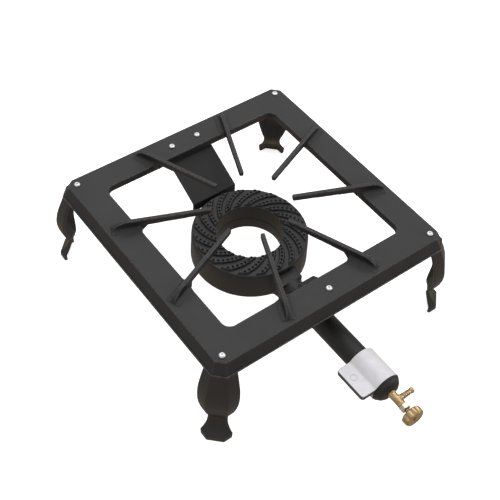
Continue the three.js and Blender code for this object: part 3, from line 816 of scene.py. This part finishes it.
def shutter_outline(tab_end):
    """Outer outline (x, z about the axis) of sleeve and tab, with the same points for any tab length."""
    low = TAB_TOP - TAB_THICK
    start = math.pi - math.asin((TAB_TOP + 0.6) / SLEEVE_R)
    end = math.pi - math.asin((low - TAB_FILLET) / SLEEVE_R) - 2 * math.pi
    arc = []
    for k in range(ARC_STEPS + 1):
        a = start + (end - start) * k / ARC_STEPS
        arc.append((SLEEVE_R * math.cos(a), SLEEVE_R * math.sin(a)))
    top_run = arc[0][0] - 3.5
    low_run = arc[-1][0] - TAB_FILLET
    edge = rounded([(top_run, TAB_TOP), (tab_end, TAB_TOP), (tab_end, low), (low_run, low)], TAB_EDGE, 5)
    bridge_low = rounded([edge[-1], (arc[-1][0] - 0.4, low), arc[-1]], TAB_FILLET, 4)[1:-1]
    bridge_top = rounded([arc[0], (arc[0][0] - 1.6, TAB_TOP + 0.05), edge[0]], TAB_FILLET, 4)[1:-1]
    return arc + list(reversed(bridge_low)) + list(reversed(edge)) + list(reversed(bridge_top))


def inset(outline, amount):
    """The outline moved inwards by that amount."""
    result = []
    count = len(outline)
    for i, corner in enumerate(outline):
        here = Vector(corner)
        along = (Vector(outline[(i + 1) % count]) - Vector(outline[i - 1])).normalized()
        inward = Vector((along.y, -along.x))
        result.append(tuple(here + inward * amount))
    return result


def corner_loss(radius, depth):
    """How far a rounded corner of that radius falls short, at that depth from the end."""
    return radius - math.sqrt(max(0.0, radius ** 2 - max(0.0, radius - depth) ** 2))


def make_shutter():
    """Sleeve and tab lofted along the tube, with rounded ends and a chamfered bore."""
    length = SHUTTER_REAR - SHUTTER_FRONT
    bends = [round(TAB_CORNER * (1 - math.cos(math.pi / 2 * k / 8)), 3) for k in range(9)]
    stations = [0.0, 0.15, 0.4, 0.7, SHUTTER_EDGE] + [s for s in bends if s > SHUTTER_EDGE + 0.1]
    places = stations + [length / 2] + [length - s for s in reversed(stations)]
    outer = []
    for s in places:
        depth = min(s, length - s)
        outline = shutter_outline(TAB_X + corner_loss(TAB_CORNER, depth))
        outer.append(inset(outline, corner_loss(SHUTTER_EDGE, depth)))
    count = len(outer[0])
    points = []
    for s, outline in zip(places, outer):
        points += [(x, SHUTTER_FRONT + s, AXIS_Z + z) for x, z in outline]
    faces = []
    for i in range(len(places) - 1):
        for k in range(count):
            m = (k + 1) % count
            a, b = i * count, (i + 1) * count
            faces.append([a + k, b + k, b + m, a + m])
    bores = []
    for y, r in (
        (SHUTTER_FRONT, SHUTTER_BORE + 0.7), (SHUTTER_FRONT + 0.7, SHUTTER_BORE),
        (SHUTTER_REAR - 0.7, SHUTTER_BORE), (SHUTTER_REAR, SHUTTER_BORE + 0.7),
    ):
        bores.append(len(points))
        for k in range(ARC_STEPS):
            a = 2 * math.pi * k / ARC_STEPS
            points.append((r * math.cos(a), y, AXIS_Z + r * math.sin(a)))
    for a, b in zip(bores, bores[1:]):
        for k in range(ARC_STEPS):
            m = (k + 1) % ARC_STEPS
            faces.append([a + k, a + m, b + m, b + k])
    mesh = bpy.data.meshes.new("air_shutter")
    mesh.from_pydata([tuple(put(*p)) for p in points], [], faces)
    bm = bmesh.new()
    bm.from_mesh(mesh)
    bm.verts.ensure_lookup_table()
    last = (len(places) - 1) * count
    for first, bore in ((0, bores[0]), (last, bores[-1])):
        loop_outer = [bm.verts[first + k] for k in range(count)]
        loop_bore = [bm.verts[bore + k] for k in range(ARC_STEPS)]
        edges = []
        for loop in (loop_outer, loop_bore):
            for k, vert in enumerate(loop):
                edges.append(bm.edges.get((vert, loop[(k + 1) % len(loop)])))
        bmesh.ops.triangle_fill(bm, use_beauty=True, use_dissolve=False, edges=edges)
    bm.to_mesh(mesh)
    bm.free()
    smooth(mesh, math.radians(50))
    return mesh


shutter = make_object("sliding_air_shutter", make_shutter(), "aluminium")
stand_for(shutter, "air_shutter")

MARK_R = 4.6
MARK_WIRE = 0.32
MARK_X = -31.0
MARK_Y = SHUTTER_FRONT + 31.0
mark_outline = [
    (MARK_R + MARK_WIRE * math.cos(2 * math.pi * k / 10), MARK_WIRE * 0.8 * math.sin(2 * math.pi * k / 10))
    for k in range(10)
]
points, faces = revolve(mark_outline, 64, closed=True)
points = [(x + MARK_X, y + MARK_Y, z + AXIS_Z + TAB_TOP) for x, y, z in points]
mark = make_object("shutter_ring_mark", mesh_from("mark", points, faces), "stainless_steel")
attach(mark, BODY_OF["air_shutter"])

# ---------------------------------------------------------------- end cap and gas valve
CAP_FRONT, CAP_BACK = span("tube_cap", 1)
CAP_R = (span("tube_cap", 2)[1] - span("tube_cap", 2)[0]) / 2
CAP_FACE = SHUTTER_FRONT - 0.3
cap = turned(
    "domed_tube_cap", "burner_iron",
    [
        (6.4, CAP_FRONT), (6.4, CAP_BACK), (13, CAP_BACK), (13, CAP_FACE), (CAP_R, CAP_FACE),
        (CAP_R, CAP_FACE - 1.7), (20.0, CAP_FACE - 2.0), (19.7, CAP_FACE - 3.8), (17.6, CAP_FACE - 6.7),
        (14.0, CAP_FACE - 9.2), (10, CAP_FRONT),
    ],
    1.2, 96, closed=True,
)
stand_for(cap, "tube_cap")

BODY_FRONT = span("valve_body", 1)[0]
COLLAR_BACK = CAP_FRONT - 0.3
BARB_Y = (span("hose_barb", 1)[0] + span("hose_barb", 1)[1]) / 2
BARB_TIP = span("hose_barb", 0)[1]


def make_valve_body():
    """Turned barrel with a collar, and a side boss whose foot flares into the barrel."""
    barrel = rounded(
        [
            (0, CAP_FRONT + 8), (6.1, CAP_FRONT + 8), (6.1, COLLAR_BACK), (6.8, COLLAR_BACK),
            (6.8, COLLAR_BACK - 1.6), (6.1, COLLAR_BACK - 2.2), (5.7, COLLAR_BACK - 3), (5.7, BODY_FRONT + 5),
            (6.0, BODY_FRONT + 4.4), (6.0, BODY_FRONT), (2.6, BODY_FRONT), (2.6, BODY_FRONT + 3),
            (0, BODY_FRONT + 3),
        ],
        0.5,
    )
    points, faces = revolve(barrel, 64)
    points = along_valve(points)
    boss = rounded([(0, 0), (6.4, 0), (5.9, 4.5), (4.9, 6.3), (4.6, 8.2), (4.2, 9.3), (0, 9.3)], 0.8)
    boss_points, boss_faces = revolve(boss, 48)
    start = len(points)
    points += [(h, BARB_Y + x * 0.92, AXIS_Z + y * 0.92) for x, y, h in boss_points]
    faces += [[i + start for i in face] for face in boss_faces]
    return mesh_from("valve_body", points, faces)


valve = make_object("brass_valve_body", make_valve_body(), "brass")
stand_for(valve, "valve_body")


def make_barb():
    """Collar, neck, three saw-tooth barbs and a rounded tip, bored through."""
    outline = [(1.6, 3.2), (2.6, 3.2), (2.6, 9.6), (4.2, 9.6), (4.2, 11.0), (3.1, 11.6)]
    for k in range(3):
        x = 12.4 + k * 3.1
        outline += [(3.3, x), (4.2, x + 0.35), (3.25, x + 2.7)]
    outline += [(3.1, BARB_TIP - 6.2), (3.8, BARB_TIP - 5.2), (4.2, BARB_TIP - 3.6), (4.2, BARB_TIP - 2.0),
                (3.7, BARB_TIP - 0.7), (2.8, BARB_TIP), (1.6, BARB_TIP)]
    points, faces = revolve(rounded(outline, 0.35, closed=True), 56, closed=True)
    return mesh_from("hose_barb", [(h, BARB_Y + x, AXIS_Z + y) for x, y, h in points], faces)


barb = make_object("brass_hose_barb", make_barb(), "brass")
stand_for(barb, "hose_barb")

GLAND_FRONT = span("gland_nut", 1)[0]
GLAND_FLATS = 13.2
gland = turned(
    "hex_gland_nut", "pale_brass",
    [
        (0, BODY_FRONT + 3), (3.8, BODY_FRONT + 3), (3.8, BODY_FRONT - 0.3), (6.7, BODY_FRONT - 0.3),
        (7.6, BODY_FRONT - 0.9), (7.6, GLAND_FRONT + 0.7), (6.6, GLAND_FRONT), (4.6, GLAND_FRONT),
        (4.1, GLAND_FRONT + 0.6), (4.1, GLAND_FRONT + 3.4), (0, GLAND_FRONT + 3.4),
    ],
    0.25, 96, shape=lambda r, h, a: hexagon(r, GLAND_FLATS, a) if r > 6 else r,
)
stand_for(gland, "gland_nut")

SPINDLE_FRONT = span("valve_spindle", 1)[0]
spindle = turned(
    "steel_spindle", "stainless_steel",
    [
        (0, BODY_FRONT + 2), (2.35, BODY_FRONT + 2), (2.35, GLAND_FRONT + 1), (2.35, SPINDLE_FRONT + 0.5),
        (2.0, SPINDLE_FRONT), (0, SPINDLE_FRONT),
    ],
    0.2, 40,
)
stand_for(spindle, "valve_spindle")

KNOB_FRONT, HUB_BACK = span("knob", 1)
KNOB_R = (span("knob", 2)[1] - span("knob", 2)[0]) / 2
KNOB_BACK = HUB_BACK - 2.6
FLUTES = 10
FLUTE_DEPTH = 1.3
FLUTE_START_R = KNOB_R - 2.6


def fluted(radius, _height, angle):
    """Shallow scallops round the rim, fading towards the faces."""
    if radius < FLUTE_START_R:
        return radius
    grip = 0.5 + 0.5 * math.cos(FLUTES * angle)
    depth = FLUTE_DEPTH * min(1.0, (radius - FLUTE_START_R) / 1.6)
    return radius - depth * grip ** 1.6


knob = turned(
    "fluted_knob", "brass",
    [
        (0, KNOB_FRONT + 1.1), (6.2, KNOB_FRONT + 1.1), (7.0, KNOB_FRONT + 0.5), (11.4, KNOB_FRONT),
        (13.0, KNOB_FRONT + 0.6), (KNOB_R, KNOB_FRONT + 2.2), (KNOB_R, KNOB_BACK - 1.6),
        (13.2, KNOB_BACK - 0.3), (11.5, KNOB_BACK), (6.2, KNOB_BACK), (5.4, KNOB_BACK + 0.6), (5.0, HUB_BACK),
        (2.7, HUB_BACK), (2.7, HUB_BACK - 4), (0, HUB_BACK - 4),
    ],
    0.9, 180, shape=fluted, limit=math.radians(55),
)
stand_for(knob, "knob")

KNOB_SCREW_FRONT = span("knob_screw", 1)[0]
SLOT_LENGTH, SLOT_WIDTH, SLOT_DEPTH = 8.0, 0.8, 0.7
knob_screw = turned(
    "slotted_knob_screw", "brass",
    [
        (0, KNOB_FRONT + 6), (1.1, KNOB_FRONT + 6), (1.1, KNOB_FRONT + 1.2), (3.2, KNOB_FRONT + 1.2),
        (3.2, KNOB_SCREW_FRONT + 0.9), (2.4, KNOB_SCREW_FRONT + 0.15), (0, KNOB_SCREW_FRONT),
    ],
    0.3, 48,
)
cutter_mesh = bpy.data.meshes.new("slot_cutter")
cutter_bm = bmesh.new()
bmesh.ops.create_cube(cutter_bm, size=1.0)
for vert in cutter_bm.verts:
    x, y, z = vert.co
    vert.co = put(x * SLOT_LENGTH, KNOB_SCREW_FRONT + y * 2 * SLOT_DEPTH, AXIS_Z + z * SLOT_WIDTH)
cutter_bm.to_mesh(cutter_mesh)
cutter_bm.free()
cutter = bpy.data.objects.new("slot_cutter", cutter_mesh)
bpy.context.scene.collection.objects.link(cutter)
slot_cut = knob_screw.modifiers.new("slot", "BOOLEAN")
slot_cut.operation = "DIFFERENCE"
slot_cut.object = cutter
baked(knob_screw)
bpy.data.objects.remove(cutter)
smooth(knob_screw.data)
stand_for(knob_screw, "knob_screw")

# ---------------------------------------------------------------- CAD pieces that stay
for name, node in frame["nodes"].items():
    if node.hide_render:
        continue
    node.data.materials.clear()
    node.data.materials.append(MATERIALS[SLOTS[name]])
    soft = node.modifiers.new("edges", "BEVEL")
    soft.width = 0.25 * MM
    soft.segments = 2
    soft.limit_method = "ANGLE"
    soft.angle_limit = math.radians(35)

# ---------------------------------------------------------------- floor, light and camera
FLOOR_HALF = 40.0  # metres


def make_floor():
    """A white floor for the camera, which throws no light up at the stand."""
    mesh = bpy.data.meshes.new("floor")
    corners = [(-1, -1), (1, -1), (1, 1), (-1, 1)]
    mesh.from_pydata([(x * FLOOR_HALF, y * FLOOR_HALF, 0.0) for x, y in corners], [], [(0, 1, 2, 3)])
    n = Nodes("floor_white")
    grain = n.noise(8.0, 2.0)
    colour = n.blend(grain, (0.93, 0.93, 0.93), (0.95, 0.95, 0.95))
    n.finish(colour, n.spread(grain, 0.3, 0.7, 0.85, 0.95), specular=0.1)
    n.shader.inputs["Emission Color"].default_value = (1.0, 1.0, 1.0, 1.0)
    n.shader.inputs["Emission Strength"].default_value = 0.75
    mesh.materials.append(n.material)
    floor = bpy.data.objects.new("floor", mesh)
    floor.visible_diffuse = False
    floor.visible_glossy = False
    bpy.context.scene.collection.objects.link(floor)


def softbox(name, place, width, depth, power):
    """A rectangular light that points at the middle of the frame casting."""
    data = bpy.data.lights.new(name, "AREA")
    data.shape = "RECTANGLE"
    data.size = width
    data.size_y = depth
    data.energy = power
    light = bpy.data.objects.new(name, data)
    light.location = place
    aim = (frame_low + frame_high) / 2 - Vector(place)
    light.rotation_euler = aim.to_track_quat("-Z", "Y").to_euler()
    bpy.context.scene.collection.objects.link(light)


make_floor()
softbox("overhead", (0.7, 1.0, 2.1), 2.4, 1.8, 20)
softbox("right", (1.9, -0.9, 1.0), 1.4, 1.2, 9)
softbox("left", (-2.0, -0.4, 1.4), 1.2, 1.0, 4)

SKY = (0.76, 0.755, 0.78)
GROUND = (0.56, 0.49, 0.42)


def make_world():
    """Even light from above, and a dim warm bounce from below."""
    world = bpy.data.worlds.new("studio")
    world.use_nodes = True
    tree = world.node_tree
    direction = tree.nodes.new("ShaderNodeTexCoord")
    split = tree.nodes.new("ShaderNodeSeparateXYZ")
    blend = tree.nodes.new("ShaderNodeMapRange")
    mix = tree.nodes.new("ShaderNodeMix")
    mix.data_type = "RGBA"
    blend.inputs["From Min"].default_value = -0.25
    blend.inputs["From Max"].default_value = 0.35
    mix.inputs[6].default_value = (*GROUND, 1.0)
    mix.inputs[7].default_value = (*SKY, 1.0)
    tree.links.new(direction.outputs["Generated"], split.inputs[0])
    tree.links.new(split.outputs["Z"], blend.inputs["Value"])
    tree.links.new(blend.outputs["Result"], mix.inputs["Factor"])
    tree.links.new(mix.outputs[2], tree.nodes["Background"].inputs["Color"])
    tree.nodes["Background"].inputs["Strength"].default_value = 0.8
    bpy.context.scene.world = world


make_world()

AZIMUTH, ELEVATION, ROLL = -39.52, 49.72, 3.88
CAMERA_PLACE = (-590.14, -718.21, 1007.46)
SENSOR, LENS = 36.0, 69.68
camera_data = bpy.data.cameras.new("camera")
camera_data.sensor_width = SENSOR
camera_data.lens = LENS
camera = bpy.data.objects.new("camera", camera_data)
camera.matrix_world = (
    Matrix.Translation(put(*CAMERA_PLACE))
    @ Matrix.Rotation(math.radians(AZIMUTH), 4, "Z")
    @ Matrix.Rotation(math.radians(90 - ELEVATION), 4, "X")
    @ Matrix.Rotation(math.radians(ROLL), 4, "Z")
)
bpy.context.scene.collection.objects.link(camera)
bpy.context.scene.camera = camera
bpy.context.scene.view_settings.view_transform = "Standard"
